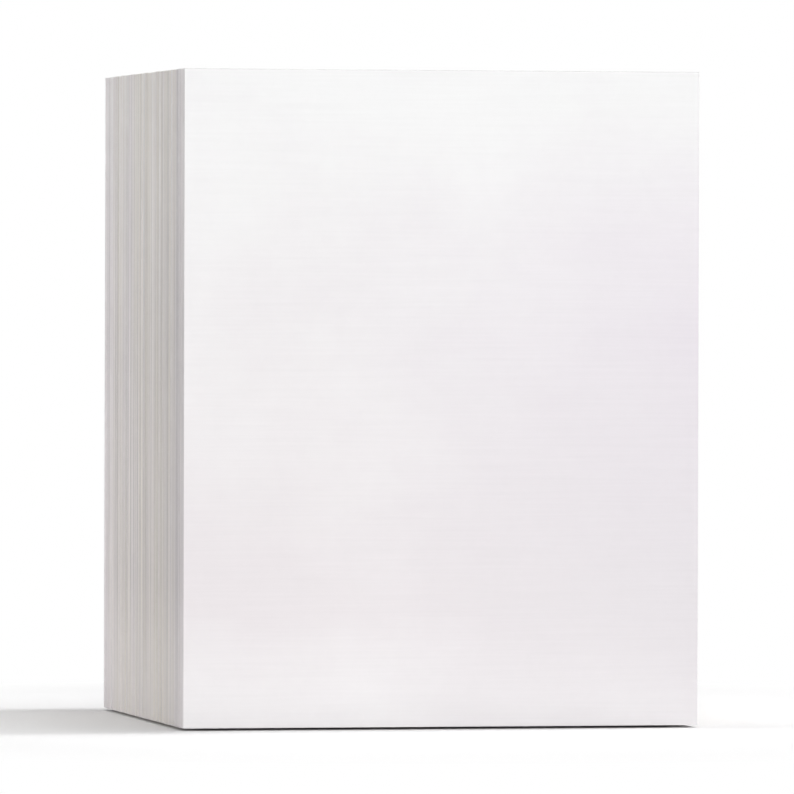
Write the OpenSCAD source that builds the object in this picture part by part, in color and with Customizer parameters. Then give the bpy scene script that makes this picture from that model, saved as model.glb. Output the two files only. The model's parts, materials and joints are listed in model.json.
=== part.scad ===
// Ream of heavy paper: loose sheets, jogged square and standing on their short edge.
// X runs across a sheet, Y through the stack from the front sheet to the back one, and Z up.
// The origin is on the surface that the ream stands on, under the middle of the stack.
// The paper was cut a bundle at a time, so the sheets of a bundle share a height but for a hair.
// Knocking the ream square left each bundle, and each sheet in it, a little to the left or right.

/* [Sheet] */
// Width of a sheet
sheet_w = 203.2; // [100:0.1:450]
// Height of a sheet, standing on its short edge
sheet_h = 254; // [140:0.1:650]
// Thickness of a sheet
sheet_t = 0.36; // [0.08:0.01:0.6]

/* [Ream] */
// Bundles in the ream
bundles = 50; // [4:1:56]
// Sheets in a bundle
bundle_sheets = 10; // [4:1:16]

/* [Edges] */
// Furthest that a bundle strays sideways from the middle of the ream
bundle_stray = 0.2; // [0:0.01:0.6]
// Furthest that a sheet strays sideways from the middle of its bundle
sheet_stray = 0.12; // [0:0.01:0.3]
// Most that a bundle was cut short of the full height
bundle_short = 0.3; // [0:0.01:0.8]
// Most that a sheet was cut short of the height of its bundle
sheet_short = 0.1; // [0:0.01:0.3]
// Which of the possible patterns the strays, cuts and tones follow
pattern = 4; // [1:1:99]

/* [Hidden] */
bundle_t = bundle_sheets * sheet_t;
ream_t = bundles * bundle_t;

// Wide enough to take in every sheet, however far it strays
clear_w = 2 * sheet_w;

// A pattern's numbers, and where the draws of each kind start among them, one for each bundle
pattern_numbers = 1000;
bundle_stray_draws = 0;
bundle_short_draws = 100;
sheet_stray_draws = 200;
tone_draws = 300;
sheet_short_draws = 400;

// Face of a sheet, which shows on the first and last bundles
face_colour = "#F1EDEE";
// Cut edges that catch the light, of middle tone, and a little back in the shade of their neighbours
light_edge_colour = "#D7D3D1";
middle_edge_colour = "#CBC7C4";
shaded_edge_colour = "#BEBAB8";
edge_colours = [light_edge_colour, middle_edge_colour, shaded_edge_colour];

// Name of bundle n, counted from 1 at the front of the ream
function bundle_name(n) = str("sheets_", n < 10 ? "0" : "", n);

// As many values as asked for, from low to high, out of bundle n's own draw of one kind
function draw(low, high, count, kind, n) = rands(low, high, count, pattern * pattern_numbers + kind + n);

// Place of the middle of bundle n across the ream
function bundle_x(n) = draw(-bundle_stray, bundle_stray, 1, bundle_stray_draws, n)[0];

// Height that bundle n was cut to
function bundle_h(n) = sheet_h - draw(0, bundle_short, 1, bundle_short_draws, n)[0];

// Places of the middles of bundle n's sheets across the ream, from the front sheet back
function sheet_places(n) =
    [for (stray = draw(-sheet_stray, sheet_stray, bundle_sheets, sheet_stray_draws, n)) bundle_x(n) + stray];

// Heights of bundle n's sheets, from the front sheet back
function sheet_heights(n) =
    [for (short = draw(0, sheet_short, bundle_sheets, sheet_short_draws, n)) bundle_h(n) - short];

// Points down a row of cut edges: each sheet's edge is a step of its own, one sheet thick
function steps(edges) =
    [for (k = [0:bundle_sheets - 1]) for (end = [0, 1]) [edges[k], (k + end) * sheet_t]];

// Turns a list of points round
function reversed(points) = [for (i = [len(points) - 1:-1:0]) points[i]];

// Bundle n from above, with the left and right edge of every sheet in its own place
module bundle_plan(n) {
    places = sheet_places(n);
    right_edges = [for (place = places) place + sheet_w / 2];
    left_edges = [for (place = places) place - sheet_w / 2];
    polygon(concat(steps(right_edges), reversed(steps(left_edges))));
}

// Bundle n from the side, lying down: the top edge of every sheet at its own height, and all bottoms in line
module bundle_side(n) {
    polygon(concat(steps(sheet_heights(n)), [[0, bundle_t], [0, 0]]));
}

// Colour that bundle n shows: a face at the front and back of the ream, and only cut edges between
function bundle_colour(n) =
    n == 1 || n == bundles ? face_colour : edge_colours[edge_tone(n)];

// Which of the edge colours bundle n has
function edge_tone(n) = floor(draw(0, len(edge_colours), 1, tone_draws, n)[0]) % len(edge_colours);

// Bundle n, behind the bundles before it and standing on the same surface
module bundle(n) {
    color(bundle_colour(n))
        translate([0, (n - 1) * bundle_t - ream_t / 2, 0])
            intersection() {
                linear_extrude(height = sheet_h) bundle_plan(n);
                rotate([0, -90, 0])
                    linear_extrude(height = clear_w, center = true) bundle_side(n);
            }
}

for (n = [1:bundles]) {
    bundle(n);
}
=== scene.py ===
"""Finish, light and view of a ream of heavy paper: five hundred loose sheets on their short edge.

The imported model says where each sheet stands. Every bundle of ten sheets becomes one piece, in which
each sheet is a closed slab of its own, with pressed cut edges that lean and waver by hairs.
X runs across a sheet, Y through the ream from the front sheet to the back one, and Z up, all in metres.
"""

import json
import logging
import math
from dataclasses import dataclass
from enum import Enum
from typing import Any

import bpy
import numpy as np
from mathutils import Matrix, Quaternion, Vector


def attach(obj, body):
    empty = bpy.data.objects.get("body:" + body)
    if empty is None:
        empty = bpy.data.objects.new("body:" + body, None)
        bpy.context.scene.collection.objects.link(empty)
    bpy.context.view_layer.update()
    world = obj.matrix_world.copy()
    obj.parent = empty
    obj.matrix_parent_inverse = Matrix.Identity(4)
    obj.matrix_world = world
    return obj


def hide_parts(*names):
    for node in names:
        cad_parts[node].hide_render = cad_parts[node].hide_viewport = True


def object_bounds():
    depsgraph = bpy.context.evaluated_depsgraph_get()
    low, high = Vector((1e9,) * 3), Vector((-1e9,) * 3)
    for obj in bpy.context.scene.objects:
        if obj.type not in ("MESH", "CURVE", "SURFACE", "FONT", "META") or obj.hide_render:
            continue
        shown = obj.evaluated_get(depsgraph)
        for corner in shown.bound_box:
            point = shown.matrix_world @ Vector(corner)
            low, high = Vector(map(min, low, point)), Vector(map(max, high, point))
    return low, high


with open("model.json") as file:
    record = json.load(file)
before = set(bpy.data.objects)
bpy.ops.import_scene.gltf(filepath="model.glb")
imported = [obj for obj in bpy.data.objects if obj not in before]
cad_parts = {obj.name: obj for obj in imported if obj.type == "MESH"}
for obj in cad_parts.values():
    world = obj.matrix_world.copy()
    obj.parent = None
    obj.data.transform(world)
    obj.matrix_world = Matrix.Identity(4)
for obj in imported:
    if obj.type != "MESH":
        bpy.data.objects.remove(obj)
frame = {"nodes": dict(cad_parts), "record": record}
packed_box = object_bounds()

BODY = "root"
PHOTO_SIDE = 794  # pixels
MM = 0.001
X, Y, Z = range(3)
LEVEL_DIGITS = 6  # decimals of a metre to which two levels are told apart
FACING = 0.9  # how far a normal reaches along an axis, at least, where a flat side faces along it
MOSTLY = 0.5  # the same, where a side faces more that way than any other
WHITE = (1.0, 1.0, 1.0, 1.0)

log = logging.getLogger("ream")

Numbers = tuple[float, ...]


def linear(hex_colour: str) -> Numbers:
    """Turn a colour as it is seen on a screen into the linear one that a shader takes.

    Args:
        hex_colour: Red, green and blue, such as "F1EDEE".

    Returns:
        Linear red, green and blue, and 1 for alpha.
    """
    shares = [int(hex_colour[i : i + 2], 16) / 255 for i in (0, 2, 4)]
    # The usual curve of screens, which is straight near black and a power above that.
    return (*((s / 12.92) if s <= 0.04045 else ((s + 0.055) / 1.055) ** 2.4 for s in shares), 1.0)


def direction(azimuth: float, elevation: float) -> Vector:
    """Return the way from the ream to something seen at these angles.

    Args:
        azimuth: Degrees round the ream, 0 in front of it and 90 on its right.
        elevation: Degrees up from level.

    Returns:
        The direction, one metre long.
    """
    around, up = math.radians(azimuth), math.radians(elevation)
    return Vector((math.sin(around) * math.cos(up), -math.cos(around) * math.cos(up), math.sin(up)))


class Value:
    """An output of a node that holds one number, which adds Math nodes when it is reckoned with."""

    def __init__(self, graph: "Graph", socket: bpy.types.NodeSocket) -> None:
        """Keep the socket and the graph that it is in."""
        self.graph = graph
        self.socket = socket

    def maths(self, operation: str, *others: Any) -> "Value":
        """Reckon with this value first.

        Args:
            operation: What the Math node does, such as "ADD".
            others: The values or numbers that come after this one.

        Returns:
            The result.
        """
        return self.graph.maths(operation, self, *others)

    def __add__(self, other: Any) -> "Value":
        """Return this value plus the other."""
        return self.maths("ADD", other)

    def __sub__(self, other: Any) -> "Value":
        """Return this value less the other."""
        return self.maths("SUBTRACT", other)

    def __rsub__(self, other: Any) -> "Value":
        """Return the other less this value."""
        return self.graph.maths("SUBTRACT", other, self)

    def __mul__(self, other: Any) -> "Value":
        """Return this value times the other."""
        return self.maths("MULTIPLY", other)

    def __truediv__(self, other: Any) -> "Value":
        """Return this value over the other."""
        return self.maths("DIVIDE", other)

    __radd__ = __add__
    __rmul__ = __mul__

    def ramp(self, low: float, high: float) -> "Value":
        """Return 0 where this value is at low, 1 where it is at high, and even shares between.

        Args:
            low: Where the ramp starts. It may be the greater of the two.
            high: Where the ramp ends.

        Returns:
            The share, held between 0 and 1.
        """
        return ((self - low) / (high - low)).maths("MAXIMUM", 0.0).maths("MINIMUM", 1.0)

    def swing(self, width: Any) -> "Value":
        """Turn a share from 0 to 1 into a swing of this width, half of it to either side of nought."""
        return (self - 0.5) * width

    def step(self) -> "Value":
        """Return the middle of the step that this value is on, where steps are one wide: 2.5 for 2.8."""
        return self.maths("FLOOR") + 0.5

    def by_turns(self) -> "Value":
        """Return -1 on the first step, 1 on the next and so on, where this value is a step's middle."""
        return (self / 2).maths("FRACT").swing(4)


@dataclass(frozen=True)
class Grain:
    """Soft noise in a finish.

    Attributes:
        spans: Length of a patch along X, Y and Z.
        detail: How many finer layers are added.
        roughness: Strength of each finer layer against the one before.
    """

    spans: Numbers
    detail: float = 2.0
    roughness: float = 0.5


class Graph:
    """A node tree of a material, of the world or of geometry, and the ways to add to it."""

    def __init__(self, tree: bpy.types.NodeTree) -> None:
        """Start from an empty tree."""
        self.tree = tree
        tree.nodes.clear()

    def node(self, kind: str, settings: dict[str, Any] | None = None, **inputs: Any) -> bpy.types.Node:
        """Add any node.

        Args:
            kind: The node's type.
            settings: Its own settings, such as an operation, which are set first.
            inputs: Values or links of its sockets, by name or identifier, with _ for each space.

        Returns:
            The node.
        """
        made = self.tree.nodes.new(kind)
        for name, setting in (settings or {}).items():
            setattr(made, name, setting)
        for name, value in inputs.items():
            self.feed(self.socket(made.inputs, name), value)
        return made

    @staticmethod
    def socket(sockets: Any, name: str) -> bpy.types.NodeSocket:
        """Find a socket by its identifier, or else by its name.

        Args:
            sockets: A node's inputs or outputs.
            name: The identifier or name, with _ for each space.

        Returns:
            The socket.
        """
        exact = [s for s in sockets if s.identifier.replace(" ", "_") == name]
        return (exact or [s for s in sockets if s.name.replace(" ", "_") == name])[0]

    def feed(self, socket: bpy.types.NodeSocket, value: Any) -> None:
        """Link a socket, or set it.

        Args:
            socket: The socket.
            value: The value or output to link it to, or a node for its first output, or else what to set.
        """
        if isinstance(value, Value):
            value = value.socket
        if isinstance(value, bpy.types.Node):
            value = value.outputs[0]
        if isinstance(value, bpy.types.NodeSocket):
            self.tree.links.new(value, socket)
        else:
            socket.default_value = value

    def value(self, node: bpy.types.Node, output: str | int = 0) -> Value:
        """Return one of a node's outputs as a value to reckon with."""
        found = node.outputs[output] if isinstance(output, int) else self.socket(node.outputs, output)
        return Value(self, found)

    def maths(self, operation: str, *values: Any) -> Value:
        """Add a Math node.

        Args:
            operation: What it does, such as "ADD".
            values: Its values or numbers, in order.

        Returns:
            The result.
        """
        made = self.node("ShaderNodeMath", {"operation": operation})
        for socket, value in zip(made.inputs, values, strict=False):
            self.feed(socket, value)
        return self.value(made)

    def vector(self, operation: str, *vectors: Any) -> bpy.types.Node:
        """Add a Vector Math node.

        Args:
            operation: What it does, such as "MULTIPLY".
            vectors: Its vectors, in order.

        Returns:
            The node, whose first output is the result.
        """
        made = self.node("ShaderNodeVectorMath", {"operation": operation})
        for socket, value in zip(made.inputs, vectors, strict=False):
            self.feed(socket, value)
        return made

    def scaled(self, vector: Any, by: Any) -> bpy.types.Node:
        """Return a vector or colour multiplied by one value."""
        return self.node("ShaderNodeVectorMath", {"operation": "SCALE"}, Vector=vector, Scale=by)

    def noise(self, vector: Any, grain: Grain) -> Value:
        """Add soft noise.

        Args:
            vector: Where the noise is read.
            grain: The noise's grain.

        Returns:
            The noise, from 0 to 1 and mostly near a half.
        """
        at = self.vector("MULTIPLY", vector, tuple(1 / span for span in grain.spans))
        made = self.node(
            "ShaderNodeTexNoise", Vector=at, Scale=1.0, Detail=grain.detail, Roughness=grain.roughness
        )
        return self.value(made)

    def chance(self, place: Value) -> Value:
        """Return a chance value from 0 to 1, one for all that has the same place."""
        return self.value(self.node("ShaderNodeTexWhiteNoise", {"noise_dimensions": "1D"}, W=place))

    def mixed(self, share: Any, first: Any, second: Any) -> bpy.types.NodeSocket:
        """Mix two colours.

        Args:
            share: How much of the second there is, from 0 to 1.
            first: The first colour.
            second: The second colour.

        Returns:
            The socket with the mixed colour.
        """
        made = self.node(
            "ShaderNodeMix",
            {"data_type": "RGBA", "clamp_factor": True},
            Factor_Float=share,
            A_Color=first,
            B_Color=second,
        )
        return self.socket(made.outputs, "Result_Color")


def new_material(name: str) -> tuple[bpy.types.Material, Graph]:
    """Make a material with an empty graph.

    Args:
        name: Its name.

    Returns:
        The material and its graph.
    """
    made = bpy.data.materials.new(name)
    made.use_nodes = True
    return made, Graph(made.node_tree)


def white_rays(graph: Graph) -> Value:
    """Tell the rays that are to see a plain white background from those that light the ream.

    Args:
        graph: The graph of the floor's material or of the world.

    Returns:
        1 for the rays that see it, and 0 for those that light.
    """
    path = graph.node("ShaderNodeLightPath")
    rays = [graph.value(path, name) for name in ("Is_Camera_Ray", "Is_Glossy_Ray", "Is_Transmission_Ray")]
    return (rays[0] + rays[1] + rays[2]).maths("MINIMUM", 1.0)


@dataclass(frozen=True)
class PaperFace:
    """Face of an uncoated sheet, white at the top, with painted shade that turns it grey lower down and
    lilac towards the right, and painted floor light at its foot.

    Attributes:
        white: Colour of its upper part, where no painted shade falls.
        grey: Painted shade of its lower part.
        lilac: Painted shade of its right side, tinted lilac.
        shaded_lilac: The same painted lilac shade where the paper is shaded grey.
        white_above: Height from which there is no painted shade.
        grey_below: Height under which the painted grey shade is full.
        lilac_above: Height at which the painted lilac shade starts, going down.
        lilac_below: Height from which it is full, going down.
        lilac_from: Place across the sheet at which the painted lilac shade starts.
        lilac_at: Place across the sheet at which it is full.
        foot_from: Height at which painted light from the floor starts to lift the shade again, going down.
        painted_foot_clearing: How much of the painted grey and lilac shade the painted floor light takes
            away at the bottom edge.
        cloud: Broad clouds.
        cloud_shift: How far they shift the mix of the colours.
        formation: Small clouds, as the fibres formed them.
        formation_shade: How much they change the light.
        felt: Faint marks across the sheet, as the felt left them.
        felt_shade: How much they change the light.
        tooth: The fine grain that a pencil would feel.
        tooth_relief: The tooth's share of the relief.
        felt_relief: The felt marks' share of it.
        formation_relief: The small clouds' share of it.
        relief: Height of the relief.
        roughness: Roughness of the surface.
        roughness_change: How much the tooth changes it.
        specular: Specular level of the surface.
    """

    white: str = "F9F9F9"
    # The grey and the lilac colours are painted shade.
    grey: str = "E9E4E6"
    lilac: str = "EEE7F0"
    shaded_lilac: str = "E5E1E4"
    white_above: float = 0.25
    grey_below: float = 0.05
    lilac_above: float = 0.24
    lilac_below: float = 0.15
    lilac_from: float = -0.05
    lilac_at: float = 0.1
    # Painted light from the floor at the foot.
    foot_from: float = 0.045
    painted_foot_clearing: float = 0.55
    cloud: Grain = Grain((0.09, 0.09, 0.09), detail=5.0, roughness=0.6)
    cloud_shift: float = 0.7
    formation: Grain = Grain((0.006, 0.006, 0.006), detail=3.0, roughness=0.6)
    formation_shade: float = 0.022
    felt: Grain = Grain((0.04, 0.04, 0.0009))
    felt_shade: float = 0.045
    tooth: Grain = Grain((0.0004, 0.0004, 0.0004), roughness=0.6)
    tooth_relief: float = 0.6
    felt_relief: float = 0.8
    formation_relief: float = 0.6
    relief: float = 0.00002
    roughness: float = 0.8
    roughness_change: float = 0.1
    specular: float = 0.3

    def material(self) -> bpy.types.Material:
        """Build the material.

        Returns:
            The material.
        """
        made, graph = new_material("uncoated_face")
        place = graph.node("ShaderNodeTexCoord").outputs["Object"]
        spot = graph.node("ShaderNodeSeparateXYZ", Vector=place)
        cloud, formation, felt, tooth = (
            graph.noise(place, grain) for grain in (self.cloud, self.formation, self.felt, self.tooth)
        )
        height = graph.value(spot, "Z")
        # Painted light and shade: lighter at the top, grey lower down, shaded lilac towards the right, and
        # lighter again at the foot as if lit from the floor.
        foot = height.ramp(self.foot_from, 0.0) * self.painted_foot_clearing
        down = height.ramp(self.white_above, self.grey_below)
        right = graph.value(spot, "X").ramp(self.lilac_from, self.lilac_at)
        tint = right * height.ramp(self.lilac_above, self.lilac_below) * (1 - foot)
        drift = cloud.swing(self.cloud_shift)
        paper = graph.mixed(down - foot + drift, linear(self.white), linear(self.grey))
        lilac = graph.mixed(down, linear(self.lilac), linear(self.shaded_lilac))
        colour = graph.mixed(tint + drift, paper, lilac)
        light = 1 + formation.swing(self.formation_shade) + felt.swing(self.felt_shade)
        relief = tooth * self.tooth_relief + felt * self.felt_relief + formation * self.formation_relief
        shader = graph.node(
            "ShaderNodeBsdfPrincipled",
            Base_Color=graph.scaled(colour, light),
            Roughness=self.roughness + tooth.swing(self.roughness_change),
            Specular_IOR_Level=self.specular,
            Normal=graph.node("ShaderNodeBump", Strength=1.0, Distance=self.relief, Height=relief),
        )
        graph.node("ShaderNodeOutputMaterial", Surface=shader)
        return made


class EdgeTone(Enum):
    """Tones of the bundles' cut edges, by the record's name for each: partly the cut's own tone and partly
    painted shade of bundles that stand in or out.
    """

    FACE = "sheet_face"
    LIGHT = "light_edge"
    MIDDLE = "middle_edge"
    SHADED = "shaded_edge"


@dataclass(frozen=True)
class CutEdge:
    """Cut edges of a pile of sheets: each has a shade of its own, within batches, piles and bands.

    What is called a shade here is the share of the colour's light by which something changes it. Some of it
    is painted light and shade: lighter towards the top and the foot, darker towards the front, on top of the
    ream and between two sheets.

    Attributes:
        warm: Colour of the warmer bands.
        cool: Colour of the cooler bands, and of both ends of the ream.
        shades: Share of the light that each tone starts from, partly painted shade.
        sheet_shade: Shade of the sheets, each by chance.
        batch_sheets: Sheets in a batch. Batches are darker and lighter by turns.
        batch_shade: Most shade of a batch.
        pile_sheets: Sheets in a pile.
        pile_shade: Shade of the piles, each by chance.
        wander_span: Sheets over which the limits of batches and piles wander to and fro.
        wander_sheets: Sheets by which they wander, so that no two batches are as thick.
        drift: Slow change along the edges, which is a batch's own.
        drift_step: How far apart two batches are in that drift.
        drift_shade: Shade of the drift.
        band: Bands along the edges, a few sheets thick.
        band_shade: Shade of the bands.
        hue: Bands of warmer and cooler paper.
        hue_middle: Value of that noise under which a band is all warm.
        hue_contrast: How quickly warm gives way to cool above it.
        end_from: Distance from the ream's middle at which its ends start to turn cool.
        end_at: Distance at which they are as cool as they get.
        end_hue: How cool they get.
        top_from: Height at which the painted light on the edges starts, going up.
        top_at: Height at which that painted light is strongest.
        painted_top_light: Painted light: how much lighter they get, except on top of the ream.
        painted_level_shade: Painted shade: how much darker the edges on top of the ream are.
        foot_from: Height at which the painted light at the foot starts, going down.
        painted_foot_light: Painted light: how much lighter they get at the foot.
        painted_front_shade: Painted shade: how much darker the front sheets are than the back ones.
        fibre: Fibres that the knife left in a cut edge.
        fibre_shade: Shade of the fibres.
        fibre_relief: Height of the fibres.
        painted_groove_shade: Painted shade: how much darker it is between two sheets.
        groove_power: How narrow that painted dark groove is. The more, the narrower.
        lightest: Most light that an edge may come to, so that none is lost in white.
        roughness: Roughness of the surface.
        roughness_change: How much the fibres change it.
        specular: Specular level of the surface.
    """

    warm: str = "EBE6DF"
    cool: str = "E9E4E5"
    shades: tuple[tuple[EdgeTone, float], ...] = (
        (EdgeTone.FACE, 1.0),
        (EdgeTone.LIGHT, 1.05),
        (EdgeTone.MIDDLE, 1.0),
        (EdgeTone.SHADED, 0.95),
    )
    sheet_shade: float = 0.22
    batch_sheets: float = 5.5
    batch_shade: float = 0.13
    pile_sheets: float = 9.0
    pile_shade: float = 0.08
    wander_span: float = 17.0
    wander_sheets: float = 22.0
    drift: Grain = Grain((0.03, 1.0, 0.03))
    drift_step: float = 7.3
    drift_shade: float = 0.14
    band: Grain = Grain((0.16, 0.0024, 0.16), detail=3.0, roughness=0.65)
    band_shade: float = 0.16
    hue: Grain = Grain((0.2, 0.018, 0.2))
    hue_middle: float = 0.35
    hue_contrast: float = 2.8
    end_from: float = 0.066
    end_at: float = 0.09
    end_hue: float = 0.9
    top_from: float = 0.15
    top_at: float = 0.254
    painted_top_light: float = 0.19
    painted_level_shade: float = 0.05
    foot_from: float = 0.055
    painted_foot_light: float = 0.28
    painted_front_shade: float = 0.14
    fibre: Grain = Grain((0.0016, 0.00012, 0.0016), roughness=0.6)
    fibre_shade: float = 0.1
    fibre_relief: float = 0.00003
    painted_groove_shade: float = 0.22
    groove_power: float = 6.0
    lightest: float = 1.15
    roughness: float = 0.88
    roughness_change: float = 0.1
    specular: float = 0.2

    def material(self, tone: EdgeTone, sheet_t: float) -> bpy.types.Material:
        """Build the material of one tone.

        Args:
            tone: The tone.
            sheet_t: Thickness of a sheet.

        Returns:
            The material.
        """
        made, graph = new_material("cut_edge_" + tone.name.lower())
        place = graph.node("ShaderNodeTexCoord").outputs["Object"]
        depth = graph.value(graph.node("ShaderNodeSeparateXYZ", Vector=place), "Y")
        fibre = graph.noise(place, self.fibre)
        light = dict(self.shades)[tone] + self.layers(graph, place, sheet_t)
        # The edges carry painted light and shade over the ream.
        light += fibre.swing(self.fibre_shade) + self.painted_falling_light(graph, place)
        ends = depth.maths("ABSOLUTE").ramp(self.end_from, self.end_at) * self.end_hue
        cool = (graph.noise(place, self.hue) - self.hue_middle) * self.hue_contrast + ends
        colour = graph.mixed(cool, linear(self.warm), linear(self.cool))
        shader = graph.node(
            "ShaderNodeBsdfPrincipled",
            Base_Color=graph.scaled(colour, light.maths("MINIMUM", self.lightest)),
            Roughness=self.roughness + fibre.swing(self.roughness_change),
            Specular_IOR_Level=self.specular,
            Normal=graph.node("ShaderNodeBump", Strength=1.0, Distance=self.fibre_relief, Height=fibre),
        )
        graph.node("ShaderNodeOutputMaterial", Surface=shader)
        return made

    def layers(self, graph: Graph, place: Any, sheet_t: float) -> Value:
        """Find how sheets, batches, piles and bands change the light, with painted shade between sheets.

        Args:
            graph: The graph.
            place: The socket with the place on the ream.
            sheet_t: Thickness of a sheet.

        Returns:
            What they add to the light.
        """
        spot = graph.node("ShaderNodeSeparateXYZ", Vector=place)
        through = graph.value(spot, "Y") / sheet_t
        number = through.step()
        wander = graph.node(
            "ShaderNodeTexNoise",
            {"noise_dimensions": "1D"},
            W=number / self.wander_span,
            Scale=1.0,
            Detail=1.0,
        )
        strayed = number + graph.value(wander).swing(self.wander_sheets)
        batch = (strayed / self.batch_sheets).step()
        pile = (strayed / self.pile_sheets).step()
        beside = graph.node(
            "ShaderNodeCombineXYZ",
            X=graph.value(spot, "X"),
            Y=batch * self.drift_step,
            Z=graph.value(spot, "Z"),
        )
        # Painted shade in the groove between two sheets.
        groove = through.maths("FRACT").swing(2).maths("ABSOLUTE").maths("POWER", self.groove_power)
        return (
            graph.chance(number).swing(self.sheet_shade)
            + batch.by_turns() * graph.chance(batch) * self.batch_shade
            + graph.chance(pile).swing(self.pile_shade)
            + graph.noise(beside, self.drift).swing(self.drift_shade)
            + graph.noise(place, self.band).swing(self.band_shade)
            - groove * self.painted_groove_shade
        )

    def painted_falling_light(self, graph: Graph, place: Any) -> Value:
        """Find the light and shade painted on the edges over the ream, from its front to its back and with
        height.

        Args:
            graph: The graph.
            place: The socket with the place on the ream.

        Returns:
            What that adds to the light.
        """
        spot = graph.node("ShaderNodeSeparateXYZ", Vector=place)
        height = graph.value(spot, "Z")
        normal = graph.node("ShaderNodeNewGeometry").outputs["Normal"]
        upwards = graph.value(graph.node("ShaderNodeSeparateXYZ", Vector=normal), "Z").maths("ABSOLUTE")
        # Painted light towards the top and the foot, painted shade on top of the ream and towards the front.
        return (
            height.ramp(self.top_from, self.top_at) * (1 - upwards) * self.painted_top_light
            - upwards * self.painted_level_shade
            + height.ramp(self.foot_from, 0.0) * self.painted_foot_light
            - graph.value(spot, "Y").ramp(self.end_at, -self.end_at) * self.painted_front_shade
        )


@dataclass(frozen=True)
class Sheet:
    """Place of one sheet.

    Attributes:
        across: Its middle along X.
        through: Its middle along Y.
        height: Height of its top edge.
    """

    across: float
    through: float
    height: float


def solid_arrays(node: str) -> tuple[np.ndarray, np.ndarray, np.ndarray]:
    """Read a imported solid's mesh.

    Args:
        node: The solid's node.

    Returns:
        Its corners, the corners of each triangle, and the triangles' normals.
    """
    mesh = frame["nodes"][node].data
    mesh.calc_loop_triangles()
    corners = np.array([v.co for v in mesh.vertices])
    triangles = np.array([t.vertices for t in mesh.loop_triangles])
    return corners, triangles, np.array([t.normal for t in mesh.loop_triangles])


def sheet_thickness(nodes: list[str]) -> float:
    """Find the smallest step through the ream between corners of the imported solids.

    Args:
        nodes: The solids' nodes.

    Returns:
        Thickness of a sheet.
    """
    levels = [np.unique(solid_arrays(node)[0][:, Y].round(LEVEL_DIGITS)) for node in nodes]
    return float(min(np.diff(level).min() for level in levels))


@dataclass(frozen=True)
class Bundle:
    """Ten sheets that were cut together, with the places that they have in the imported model.

    Attributes:
        node: The bundle's node.
        tone: Tone of its cut edges.
        front: Where the bundle starts along Y.
        width: Width of a sheet.
        sheets: The sheets, from the front one back.
    """

    node: str
    tone: EdgeTone
    front: float
    width: float
    sheets: tuple[Sheet, ...]

    @classmethod
    def read(cls, node: str, tone: EdgeTone, sheet_t: float) -> "Bundle":
        """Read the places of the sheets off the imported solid.

        Args:
            node: The bundle's node.
            tone: Tone of its cut edges.
            sheet_t: Thickness of a sheet.

        Returns:
            The bundle.
        """
        corners, triangles, normals = solid_arrays(node)
        middles = corners[triangles].mean(axis=1)
        front = corners[:, Y].min()
        count = round((corners[:, Y].max() - front) / sheet_t)
        index = ((middles[:, Y] - front) // sheet_t).astype(int)

        def edge(sheet: int, axis: int, way: int) -> float:
            """Return how far along an axis a sheet's flat sides lie that look that way along it."""
            return float(middles[(index == sheet) & (normals[:, axis] * way > FACING), axis].mean())

        sheets = tuple(
            Sheet(
                across=(edge(k, X, 1) + edge(k, X, -1)) / 2,
                through=float(front) + (k + 0.5) * sheet_t,
                height=edge(k, Z, 1),
            )
            for k in range(count)
        )
        return cls(node, tone, float(front), edge(0, X, 1) - edge(0, X, -1), sheets)

    @property
    def number(self) -> int:
        """Return the bundle's number, counted from 1 at the front."""
        return int(self.node.rsplit("_", 1)[1])


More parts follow.
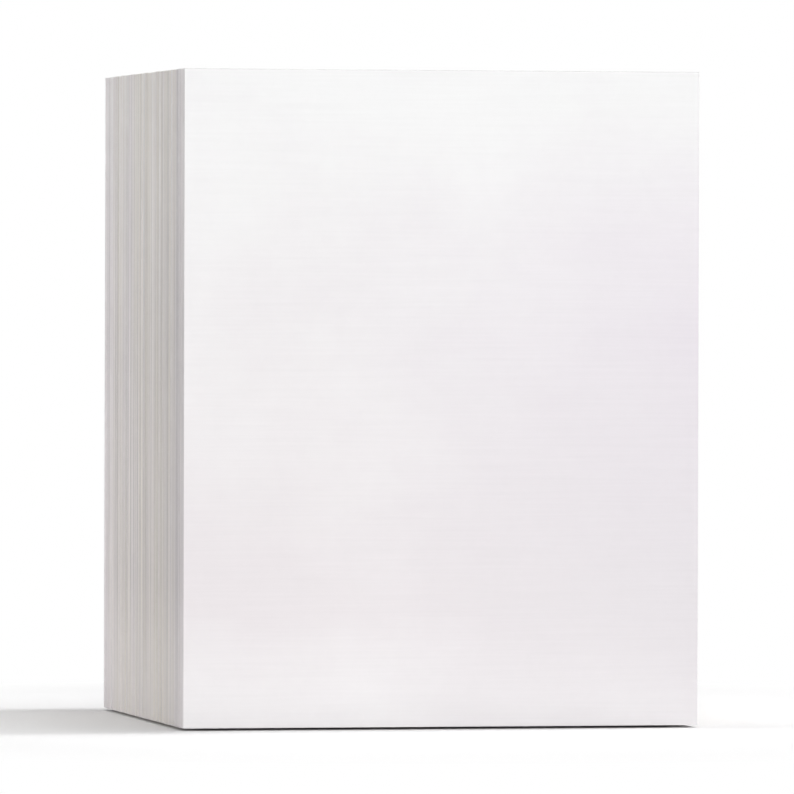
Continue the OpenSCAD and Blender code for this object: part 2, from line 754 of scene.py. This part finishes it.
@dataclass(frozen=True)
class LooseSheets:
    """Shapes of the loose sheets: how far each one is from a plain slab.

    Attributes:
        air: Air between a sheet and the next.
        rounding: How far the knife pressed the corners of a cut edge in.
        lean: Furthest that a sheet leans to a side at its top.
        waver: How far a cut edge wavers in and out at the top.
        waver_span: Length of a waver.
        waver_gain: How many times the waver is, because soft noise mostly keeps near its middle.
        columns: Corners across a sheet.
        rows: Corners up a sheet.
        edge_rows: Corners through a sheet.
        outer: Share of a side, out from its middle, that lies between the inner corners and the outer ones.
        seed: Start of the random leans, to which a bundle's number is added.
        phase_seed: What is added to that for the random phases of the wavers.
        phases: Length of noise that the phases are spread over, to either side.
        top_phase: How far in the noise the top edge's waver is from the sides' one.
    """

    air: float = 0.01 * MM
    rounding: float = 0.05 * MM
    lean: float = 0.1 * MM
    waver: float = 0.05 * MM
    waver_span: float = 0.09
    waver_gain: float = 3.0
    columns: int = 6
    rows: int = 11
    edge_rows: int = 4
    outer: float = 0.45
    seed: int = 17
    phase_seed: int = 1000
    phases: float = 100.0
    top_phase: float = 50.0

    def tree(self) -> bpy.types.NodeTree:
        """Build the nodes that stand a sheet at each point.

        Returns:
            The tree.
        """
        tree = bpy.data.node_groups.new("loose_sheets", "GeometryNodeTree")
        for name, kind in {
            "Geometry": "Geometry",
            "Size": "Vector",
            "Rounding": "Float",
            "Lean": "Float",
            "Waver": "Float",
            "Waver Span": "Float",
            "Seed": "Int",
            "Face": "Material",
            "Cut Edge": "Material",
        }.items():
            tree.interface.new_socket(name, in_out="INPUT", socket_type="NodeSocket" + kind)
        tree.interface.new_socket("Geometry", in_out="OUTPUT", socket_type="NodeSocketGeometry")
        graph = Graph(tree)
        given = graph.node("NodeGroupInput").outputs
        loose = self.stood(graph, given, self.slab(graph, given))
        shifted = self.shifted(graph, given, loose)
        normal = graph.node("ShaderNodeSeparateXYZ", Vector=graph.node("GeometryNodeInputNormal"))
        is_cut = graph.value(normal, "Y").maths("ABSOLUTE").maths("LESS_THAN", FACING)
        faced = graph.node("GeometryNodeSetMaterial", Geometry=shifted, Material=given["Face"])
        edged = graph.node(
            "GeometryNodeSetMaterial", Geometry=faced, Selection=is_cut, Material=given["Cut Edge"]
        )
        graph.node("NodeGroupOutput", Geometry=edged)
        return tree

    def slab(self, graph: Graph, given: Any) -> bpy.types.Node:
        """Make a sheet of the full height, with the corners of its cut edges pressed in.

        Args:
            graph: The graph.
            given: The tree's inputs.

        Returns:
            The node with the sheet, which stands over the origin.
        """
        cube = graph.node(
            "GeometryNodeMeshCube",
            Size=given["Size"],
            Vertices_X=self.columns,
            Vertices_Y=self.edge_rows,
            Vertices_Z=self.rows,
        )
        share = graph.vector("DIVIDE", graph.node("GeometryNodeInputPosition"), given["Size"])
        beyond = graph.vector("SUBTRACT", graph.vector("ABSOLUTE", share), (self.outer,) * 3)
        # Along each axis this is 1 for the outer corners and 0 for the inner ones.
        outermost = graph.vector("CEIL", beyond)
        outwards = graph.vector("MULTIPLY", graph.vector("SIGN", share), outermost)
        on_face = graph.value(graph.node("ShaderNodeSeparateXYZ", Vector=outermost), "Y")
        press = graph.scaled(
            graph.vector("MULTIPLY", outwards, (-1, 0, -1)), on_face * Value(graph, given["Rounding"])
        )
        lift = graph.vector("MULTIPLY", given["Size"], (0, 0, 0.5))
        return graph.node("GeometryNodeSetPosition", Geometry=cube, Offset=graph.vector("ADD", press, lift))

    def stood(self, graph: Graph, given: Any, slab: bpy.types.Node) -> bpy.types.Node:
        """Stand a sheet at each point, with a lean of its own and a phase for its wavers.

        Args:
            graph: The graph.
            given: The tree's inputs.
            slab: The node with one sheet.

        Returns:
            The node with all the sheets, realized.
        """
        points = given["Geometry"]
        seed = Value(graph, given["Seed"])
        draws = {"lean": (given["Lean"], seed), "phase": (self.phases, seed + self.phase_seed)}
        for name, (furthest, start) in draws.items():
            drawn = graph.node(
                "FunctionNodeRandomValue",
                {"data_type": "FLOAT"},
                Min_001=graph.maths("MULTIPLY", furthest, -1),
                Max_001=furthest,
                Seed=start,
            )
            points = graph.node(
                "GeometryNodeStoreNamedAttribute",
                Geometry=points,
                Name=name,
                Value=graph.value(drawn, "Value_001"),
            )
        height = graph.node("GeometryNodeInputNamedAttribute", Name="height_share")
        size = graph.node("ShaderNodeCombineXYZ", X=1.0, Y=1.0, Z=height)
        stood = graph.node("GeometryNodeInstanceOnPoints", Points=points, Instance=slab, Scale=size)
        return graph.node("GeometryNodeRealizeInstances", Geometry=stood)

    def shifted(self, graph: Graph, given: Any, sheets: bpy.types.Node) -> bpy.types.Node:
        """Let each sheet lean, and its edges waver, more the further up they are.

        Args:
            graph: The graph.
            given: The tree's inputs.
            sheets: The node with all the sheets.

        Returns:
            The node with the shifted sheets.
        """
        at = graph.node("ShaderNodeSeparateXYZ", Vector=graph.node("GeometryNodeInputPosition"))
        full = graph.node("ShaderNodeSeparateXYZ", Vector=given["Size"])
        rise = graph.value(at, "Z") / graph.value(full, "Z")
        lean = graph.value(graph.node("GeometryNodeInputNamedAttribute", Name="lean"))
        phase = graph.value(graph.node("GeometryNodeInputNamedAttribute", Name="phase"))
        span = Value(graph, given["Waver Span"])
        wavers = []
        for start, along in ((0.0, "Z"), (self.top_phase, "X")):
            spot = graph.node("ShaderNodeCombineXYZ", X=phase + start, Y=graph.value(at, along) / span)
            noise = graph.value(graph.node("ShaderNodeTexNoise", Vector=spot, Scale=1.0, Detail=1.0))
            wavers.append(noise.swing(self.waver_gain) * Value(graph, given["Waver"]))
        offset = graph.node("ShaderNodeCombineXYZ", X=rise * (lean + wavers[0]), Z=rise * wavers[1])
        return graph.node("GeometryNodeSetPosition", Geometry=sheets, Offset=offset)

    def mesh(
        self,
        tree: bpy.types.NodeTree,
        bundle: Bundle,
        sheet_t: float,
        full_height: float,
        finishes: tuple[bpy.types.Material, bpy.types.Material],
    ) -> bpy.types.Mesh:
        """Make the mesh of a bundle.

        Args:
            tree: The nodes.
            bundle: The bundle.
            sheet_t: Thickness of a sheet.
            full_height: Height that a share of 1 stands for.
            finishes: The materials of the faces and of the cut edges.

        Returns:
            The mesh, with each place in it.
        """
        points = bpy.data.meshes.new("places")
        points.from_pydata([(s.across, s.through, 0.0) for s in bundle.sheets], [], [])
        shares = points.attributes.new("height_share", "FLOAT", "POINT")
        shares.data.foreach_set("value", [s.height / full_height for s in bundle.sheets])
        carrier = bpy.data.objects.new("carrier", points)
        bpy.context.scene.collection.objects.link(carrier)
        modifier = carrier.modifiers.new("sheets", "NODES")
        modifier.node_group = tree
        values = {
            "Size": (bundle.width, sheet_t - self.air, full_height),
            "Rounding": self.rounding,
            "Lean": self.lean,
            "Waver": self.waver,
            "Waver Span": self.waver_span,
            "Seed": self.seed + bundle.number,
            "Face": finishes[0],
            "Cut Edge": finishes[1],
        }
        for item in tree.interface.items_tree:
            if item.name in values:
                modifier[item.identifier] = values[item.name]
        graph = bpy.context.evaluated_depsgraph_get()
        made = bpy.data.meshes.new_from_object(carrier.evaluated_get(graph))
        bpy.data.objects.remove(carrier)
        bpy.data.meshes.remove(points)
        for name in ("height_share", "lean", "phase"):
            if name in made.attributes:
                made.attributes.remove(made.attributes[name])
        return made


@dataclass(frozen=True)
class EdgeMap:
    """Flat map of a piece's surface, for bakes: faces on one side, and a column for each cut side.

    The columns are spread so wide that each sheet's edge has several pixels of its own.

    Attributes:
        margin: Free share of the map's side along its edges.
        face_wide: Share of it that the faces take up.
        column_wide: Share of it that a column takes up.
        column_gap: Free share of it before each column.
    """

    margin: float = 0.02
    face_wide: float = 0.56
    column_wide: float = 0.075
    column_gap: float = 0.02

    def add_to(self, mesh: bpy.types.Mesh, bundle: Bundle, sheet_t: float, full_height: float) -> None:
        """Give a mesh the map.

        Args:
            mesh: The mesh.
            bundle: The bundle that the mesh shows.
            sheet_t: Thickness of a sheet.
            full_height: Height of the tallest sheet.
        """
        corner = np.zeros(len(mesh.loops), dtype=np.int32)
        mesh.loops.foreach_get("vertex_index", corner)
        places = np.zeros(len(mesh.vertices) * 3)
        mesh.vertices.foreach_get("co", places)
        x, y, z = places.reshape(-1, 3)[corner].T
        sizes = np.zeros(len(mesh.polygons), dtype=np.int32)
        mesh.polygons.foreach_get("loop_total", sizes)
        normals = np.zeros(len(mesh.polygons) * 3)
        mesh.polygons.foreach_get("normal", normals)
        nx, _, nz = np.repeat(normals.reshape(-1, 3), sizes, axis=0).T

        across = x / bundle.width + 0.5
        through = (y - bundle.front) / (sheet_t * len(bundle.sheets))
        up = z / full_height
        tall = 1 - 2 * self.margin
        u = self.margin + self.face_wide * across
        v = self.margin + self.face_wide * full_height / bundle.width * up
        columns = ((nx < -MOSTLY, up), (nx > MOSTLY, up), (nz > MOSTLY, across), (nz < -MOSTLY, across))
        for column, (chosen, along) in enumerate(columns):
            start = self.margin + self.face_wide + (column + 1) * self.column_gap + column * self.column_wide
            u = np.where(chosen, start + self.column_wide * through, u)
            v = np.where(chosen, self.margin + tall * along, v)
        layer = mesh.uv_layers.new(name="OFBake")
        layer.data.foreach_set("uv", np.stack([u, v], axis=1).ravel())


@dataclass(frozen=True)
class StudioFloor:
    """Pale floor that keeps the ream's shadow, and goes over into plain white further out.

    Attributes:
        colour: Its colour.
        drop: How far it lies under the sheets' level, which leaves a thin dark line there.
        radius: Its radius.
        corners: Corners of its rim.
        white_from: How far out the plain white starts.
        white_at: How far out all of it is plain white.
    """

    colour: str = "FAFAFA"
    drop: float = 1.0 * MM
    radius: float = 12.0
    corners: int = 96
    white_from: float = 0.23
    white_at: float = 0.36

    def material(self) -> bpy.types.Material:
        """Build the material.

        Returns:
            The material.
        """
        made, graph = new_material("pale_floor")
        place = graph.node("ShaderNodeTexCoord").outputs["Object"]
        out = graph.value(graph.vector("LENGTH", place), "Value")
        far = graph.node(
            "ShaderNodeMapRange",
            {"interpolation_type": "SMOOTHSTEP"},
            Value=out,
            From_Min=self.white_from,
            From_Max=self.white_at,
        )
        share = graph.value(far) * white_rays(graph)
        shadowed = graph.node("ShaderNodeBsdfDiffuse", Color=linear(self.colour))
        white = graph.node("ShaderNodeEmission", Color=WHITE, Strength=1.0)
        both = graph.node("ShaderNodeMixShader", Fac=share, Shader=shadowed, Shader_001=white)
        graph.node("ShaderNodeOutputMaterial", Surface=both)
        return made

    def build(self) -> bpy.types.Object:
        """Build the floor.

        Returns:
            The floor.
        """
        turn = 2 * math.pi / self.corners
        rim = [
            (self.radius * math.cos(k * turn), self.radius * math.sin(k * turn), -self.drop)
            for k in range(self.corners)
        ]
        mesh = bpy.data.meshes.new("floor")
        mesh.from_pydata(rim, [], [tuple(range(self.corners))])
        mesh.materials.append(self.material())
        floor = bpy.data.objects.new("floor", mesh)
        bpy.context.scene.collection.objects.link(floor)
        return floor


@dataclass(frozen=True)
class Softbox:
    """Lamp with a flat face that looks at the ream and doesn't show itself.

    Attributes:
        name: Its name.
        azimuth: Degrees round the ream, 0 in front of it and 90 on its right.
        elevation: Degrees up from level.
        distance: How far it is from the ream's middle.
        wide: Level side of its face.
        tall: Other side of its face.
        level: Share of full white that it alone would give a white sheet that faces it.
    """

    name: str
    azimuth: float
    elevation: float
    distance: float
    wide: float
    tall: float
    level: float

    def build(self, middle: Vector) -> bpy.types.Object:
        """Build the lamp.

        Args:
            middle: Middle of the ream.

        Returns:
            The lamp.
        """
        data = bpy.data.lights.new(self.name, "AREA")
        data.shape = "RECTANGLE"
        data.size = self.wide
        data.size_y = self.tall
        # The power over pi and over the distance squared falls on a sheet that faces the lamp,
        # and a white sheet looks as bright as that over pi.
        data.energy = self.level * math.pi**2 * self.distance**2
        lamp = bpy.data.objects.new(self.name, data)
        way = direction(self.azimuth, self.elevation)
        lamp.location = middle + way * self.distance
        lamp.rotation_euler = way.to_track_quat("Z", "Y").to_euler()
        lamp.visible_camera = False
        bpy.context.scene.collection.objects.link(lamp)
        return lamp


@dataclass(frozen=True)
class Studio:
    """Light round the ream.

    Attributes:
        ambient: Strength of the light from all round, where 1 is full white.
        softboxes: The lamps.
    """

    ambient: float = 0.1
    softboxes: tuple[Softbox, ...] = (
        Softbox("overhead_strip", 93, 78, distance=1.8, wide=0.14, tall=1.6, level=0.47),
        Softbox("overhead", 60, 80, distance=1.8, wide=1.0, tall=1.0, level=0.49),
        Softbox("front_fill", -4, 5, distance=2.4, wide=1.0, tall=1.0, level=0.55),
        Softbox("right_fill", 92, 4, distance=2.2, wide=1.2, tall=0.6, level=0.14),
        Softbox("back_fill", -158, 4, distance=2.2, wide=1.2, tall=0.6, level=0.4),
        Softbox("left_card", -108, -12, distance=0.42, wide=0.3, tall=0.06, level=0.11),
    )

    def build(self, middle: Vector) -> None:
        """Build the lamps and the world.

        Args:
            middle: Middle of the ream.
        """
        for softbox in self.softboxes:
            log.info("lamp: %s", softbox.build(middle).name)
        world = bpy.data.worlds.new("studio")
        world.use_nodes = True
        bpy.context.scene.world = world
        graph = Graph(world.node_tree)
        light = graph.node("ShaderNodeBackground", Color=WHITE, Strength=self.ambient)
        white = graph.node("ShaderNodeBackground", Color=WHITE, Strength=1.0)
        both = graph.node("ShaderNodeMixShader", Fac=white_rays(graph), Shader=light, Shader_001=white)
        graph.node("ShaderNodeOutputWorld", Surface=both)


@dataclass(frozen=True)
class PhotoView:
    """The photograph's view, found by fitting a plain camera to the corners of the ream.

    Attributes:
        azimuth: Degrees round the ream, 0 in front of it and 90 on its right.
        elevation: Degrees up from level.
        roll: Degrees that the camera is turned about its own line of sight.
        distance: How far the camera is from what it aims at.
        focus: Its focal length, in pixels of the photograph.
        aim: The point that it aims at, close to the middle of the ream.
        sensor: Width of its sensor, in millimetres.
    """

    azimuth: float = -11.547
    elevation: float = 0.716
    roll: float = 0.16
    distance: float = 3.6674
    focus: float = 9258.9
    aim: Numbers = (0.00046, -0.00009, 0.12641)
    sensor: float = 36.0

    def build(self) -> bpy.types.Object:
        """Build the camera and make it the scene's own.

        Returns:
            The camera.
        """
        data = bpy.data.cameras.new("photo_view")
        data.sensor_width = self.sensor
        data.lens = self.focus / PHOTO_SIDE * self.sensor
        camera = bpy.data.objects.new("photo_view", data)
        way = direction(self.azimuth, self.elevation)
        turn = way.to_track_quat("Z", "Y") @ Quaternion((0, 0, 1), math.radians(self.roll))
        camera.location = Vector(self.aim) + way * self.distance
        camera.rotation_euler = turn.to_euler()
        bpy.context.scene.collection.objects.link(camera)
        bpy.context.scene.camera = camera
        return camera


class Ream:
    """All the loose sheets of the ream, a piece for each bundle."""

    def __init__(self, sheets: LooseSheets, face: PaperFace, edge: CutEdge, flat_map: EdgeMap) -> None:
        """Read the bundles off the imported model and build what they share.

        Args:
            sheets: Shapes of the sheets.
            face: Finish of their faces.
            edge: Finish of their cut edges.
            flat_map: Map of a piece's surface, for bakes.
        """
        record = frame["record"]
        slots = {part["node"]: part["material_slot"] for part in record["subparts"]}
        self.sheet_t = sheet_thickness(sorted(slots))
        self.bundles = [Bundle.read(node, EdgeTone(slots[node]), self.sheet_t) for node in sorted(slots)]
        self.full_height = max(sheet.height for bundle in self.bundles for sheet in bundle.sheets)
        self.sheets = sheets
        self.flat_map = flat_map
        self.tree = sheets.tree()
        self.face = face.material()
        self.edges = {tone: edge.material(tone, self.sheet_t) for tone in EdgeTone}

    def build(self) -> None:
        """Build every bundle's piece."""
        for bundle in self.bundles:
            mesh = self.sheets.mesh(
                self.tree, bundle, self.sheet_t, self.full_height, (self.face, self.edges[bundle.tone])
            )
            self.flat_map.add_to(mesh, bundle, self.sheet_t, self.full_height)
            piece = bpy.data.objects.new(f"loose_sheets_{bundle.number:02d}", mesh)
            mesh.name = piece.name
            bpy.context.scene.collection.objects.link(piece)
            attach(piece, BODY)
            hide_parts(bundle.node)
            log.info("%s: %d sheets, %d faces", piece.name, len(bundle.sheets), len(mesh.polygons))


def main() -> None:
    """Build the view, the light and the ream."""
    logging.basicConfig(level=logging.INFO, format="%(name)s: %(message)s")
    bpy.context.scene.view_settings.view_transform = "Standard"
    log.info("view: %s", PhotoView().build().name)
    log.info("stage: %s", StudioFloor().build().name)
    lowest, highest = (Vector(corner) for corner in packed_box)
    Studio().build((lowest + highest) / 2)
    Ream(LooseSheets(), PaperFace(), CutEdge(), EdgeMap()).build()


if __name__ == "__main__":
    main()
